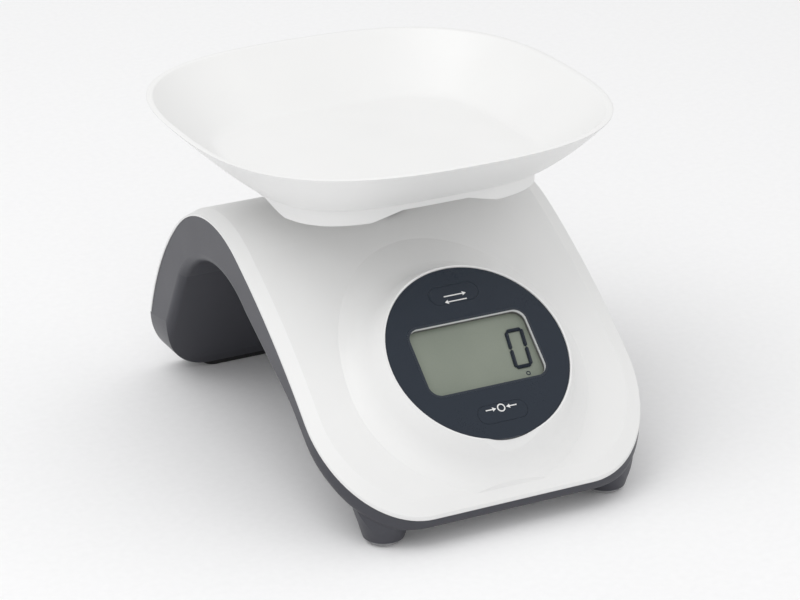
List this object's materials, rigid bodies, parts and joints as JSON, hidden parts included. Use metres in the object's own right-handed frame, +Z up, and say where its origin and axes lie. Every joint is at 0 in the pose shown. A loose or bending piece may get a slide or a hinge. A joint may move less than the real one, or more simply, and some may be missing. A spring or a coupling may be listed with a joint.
{
  "type": "kitchen weighing scale",
  "caption": "Domestic electronic weighing scale: arched housing, round sloping display with keys, load-cell platform and lift-off bowl.",
  "frame": {"origin": "on the table, under the middle of the outer box", "axes": "+Z up, the display faces -Y, +X is the user's right hand"},
  "size_m": [0.1823, 0.2117, 0.1444],
  "materials": {
    "white_plastic": "satin white moulded plastic",
    "bowl_plastic": "satin white moulded plastic",
    "platform_plastic": "satin white moulded plastic",
    "dark_plastic": "satin dark grey moulded plastic",
    "cover_plastic": "fine grained dark grey plastic",
    "panel_plastic": "satin dark blue-grey plastic",
    "key_plastic": "satin dark blue-grey plastic",
    "trim_plastic": "bright moulded edge",
    "lcd_glass": "grey-green liquid-crystal cell behind clear glass",
    "lcd_frame": "black moulded frame",
    "contact_rubber": "striped soft contact strip",
    "switch_plastic": "black switch body",
    "board_laminate": "green solder-masked laminate",
    "component_plastic": "black moulded packages",
    "battery_jacket": "printed battery sleeve",
    "contact_metal": "nickel-plated spring steel",
    "cell_aluminium": "milled aluminium",
    "gauge_film": "amber foil gauges",
    "lead_jacket": "grey jacketed lead",
    "bridge_alloy": "die-cast alloy",
    "screw_steel": "zinc-plated steel",
    "foot_rubber": "matt grey foot pads",
    "strip_rubber": "matt black rubber strip",
    "pad_rubber": "soft white grip pads"
  },
  "bodies": {
    "base": {"upper_shell": "white_plastic", "lower_shell": "dark_plastic", "shell_screws": "screw_steel", "front_feet": "foot_rubber", "rear_foot_strip": "strip_rubber", "display_panel": "panel_plastic", "window_trim": "trim_plastic", "lcd_glass": "lcd_glass", "lcd_frame": "lcd_frame", "lcd_contact_strip": "contact_rubber", "key_switches": "switch_plastic", "circuit_board": "board_laminate", "board_components": "component_plastic", "board_screws": "screw_steel", "batteries": "battery_jacket", "battery_plates": "contact_metal", "battery_springs": "contact_metal", "battery_tabs": "contact_metal", "load_cell": "cell_aluminium", "strain_gauges": "gauge_film", "gauge_lead": "lead_jacket", "cell_screws": "screw_steel"},
    "platform": {"load_bridge": "bridge_alloy", "bridge_screws": "screw_steel", "platform": "platform_plastic", "platform_screws": "screw_steel", "bowl_pads": "pad_rubber"},
    "bowl": {"bowl": "bowl_plastic"},
    "unit_key": {"unit_key": "key_plastic"},
    "tare_key": {"tare_key": "key_plastic"},
    "battery_cover": {"battery_cover": "cover_plastic"}
  },
  "joints": [
    {"name": "platform_press", "type": "slide", "parent": "base", "child": "platform", "axis": [0, 0, -1], "range_m": [0, 0.001], "stiffness_N_per_m": 49000, "deforming": ["load_cell"]},
    {"name": "bowl_lift", "type": "slide", "parent": "platform", "child": "bowl", "axis": [0, 0, 1], "range_m": [0, 0.06]},
    {"name": "unit_key_press", "type": "slide", "parent": "base", "child": "unit_key", "axis": [0, 0.6388, -0.7694], "range_m": [0, 0.0006], "stiffness_N_per_m": 5000},
    {"name": "tare_key_press", "type": "slide", "parent": "base", "child": "tare_key", "axis": [0, 0.6388, -0.7694], "range_m": [0, 0.0006], "stiffness_N_per_m": 5000},
    {"name": "battery_cover_off", "type": "slide", "parent": "base", "child": "battery_cover", "axis": [0, 0.6388, -0.7694], "range_m": [0, 0.02]}
  ]
}
